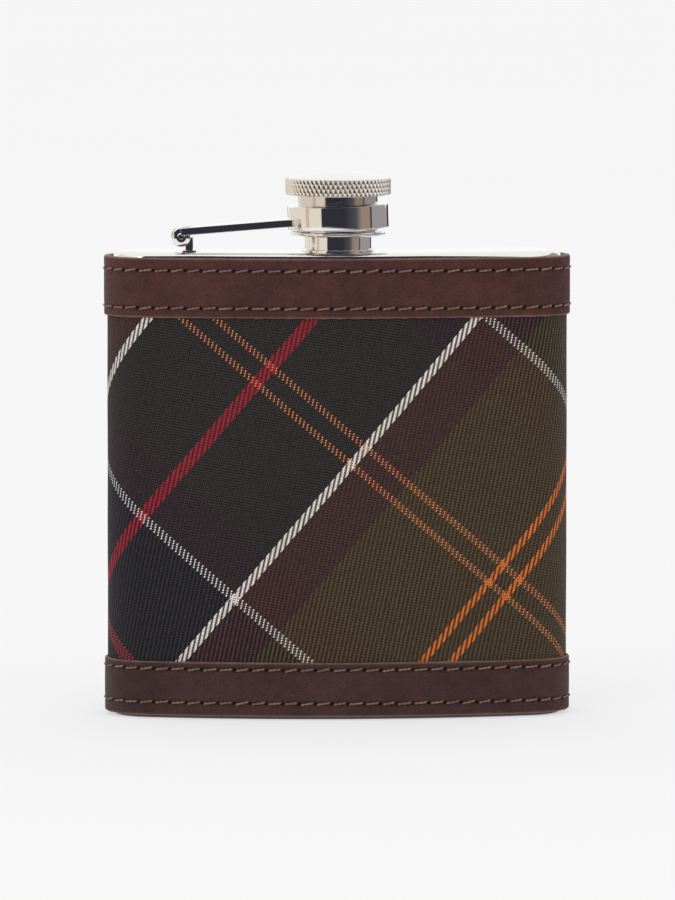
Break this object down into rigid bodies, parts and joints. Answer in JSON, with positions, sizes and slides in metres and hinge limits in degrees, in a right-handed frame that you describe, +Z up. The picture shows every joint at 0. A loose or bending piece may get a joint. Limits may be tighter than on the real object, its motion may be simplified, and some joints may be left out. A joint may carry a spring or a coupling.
{
  "type": "hip flask",
  "caption": "Bent steel hip flask in a checked cloth and leather wrap, with a captive knurled screw cap on a hinged arm.",
  "frame": {"origin": "middle of the box around the object, on the plane it stands on", "axes": "+Z up through the neck, +Y towards the hollow back, -Y towards the bulging front, +X away from the hinge"},
  "size_m": [0.0953, 0.0262, 0.1111],
  "materials": {
    "body_steel": "satin",
    "plate_steel": "polished",
    "polished_steel": "mirror polish",
    "pin_steel": "satin",
    "insert_steel": "turned",
    "seal_rubber": "matte",
    "lining_cloth": "felted",
    "tartan_cloth": "twill",
    "band_leather": "smooth, lightly grained",
    "thread": "waxed twist"
  },
  "bodies": {
    "flask": {"body_wall": "body_steel", "top_plate": "plate_steel", "base_plate": "body_steel", "neck_tube": "polished_steel", "neck_base_ring": "polished_steel", "hinge_bracket": "polished_steel", "hinge_pin": "pin_steel", "wrap_lining": "lining_cloth", "fabric_wrap": "tartan_cloth", "top_band": "band_leather", "bottom_band": "band_leather", "top_band_upper_stitching": "thread", "top_band_lower_stitching": "thread", "bottom_band_upper_stitching": "thread", "bottom_band_lower_stitching": "thread", "back_seam_stitching": "thread"},
    "arm": {"hinge_arm": "polished_steel", "captive_ring": "polished_steel"},
    "cap": {"cap_head": "polished_steel", "cap_thread_insert": "insert_steel", "cap_seal": "seal_rubber", "cap_retaining_flange": "polished_steel"}
  },
  "joints": [
    {"name": "arm_swing", "type": "hinge", "parent": "flask", "child": "arm", "pos_m": [-0.0319, -0.00252, 0.0977], "axis": [0, -1, 0], "range_deg": [0, 175]},
    {"name": "cap_spin", "type": "hinge", "parent": "arm", "child": "cap", "pos_m": [0, -0.00252, 0.1042], "axis": [0, 0, 1], "continuous": true}
  ]
}
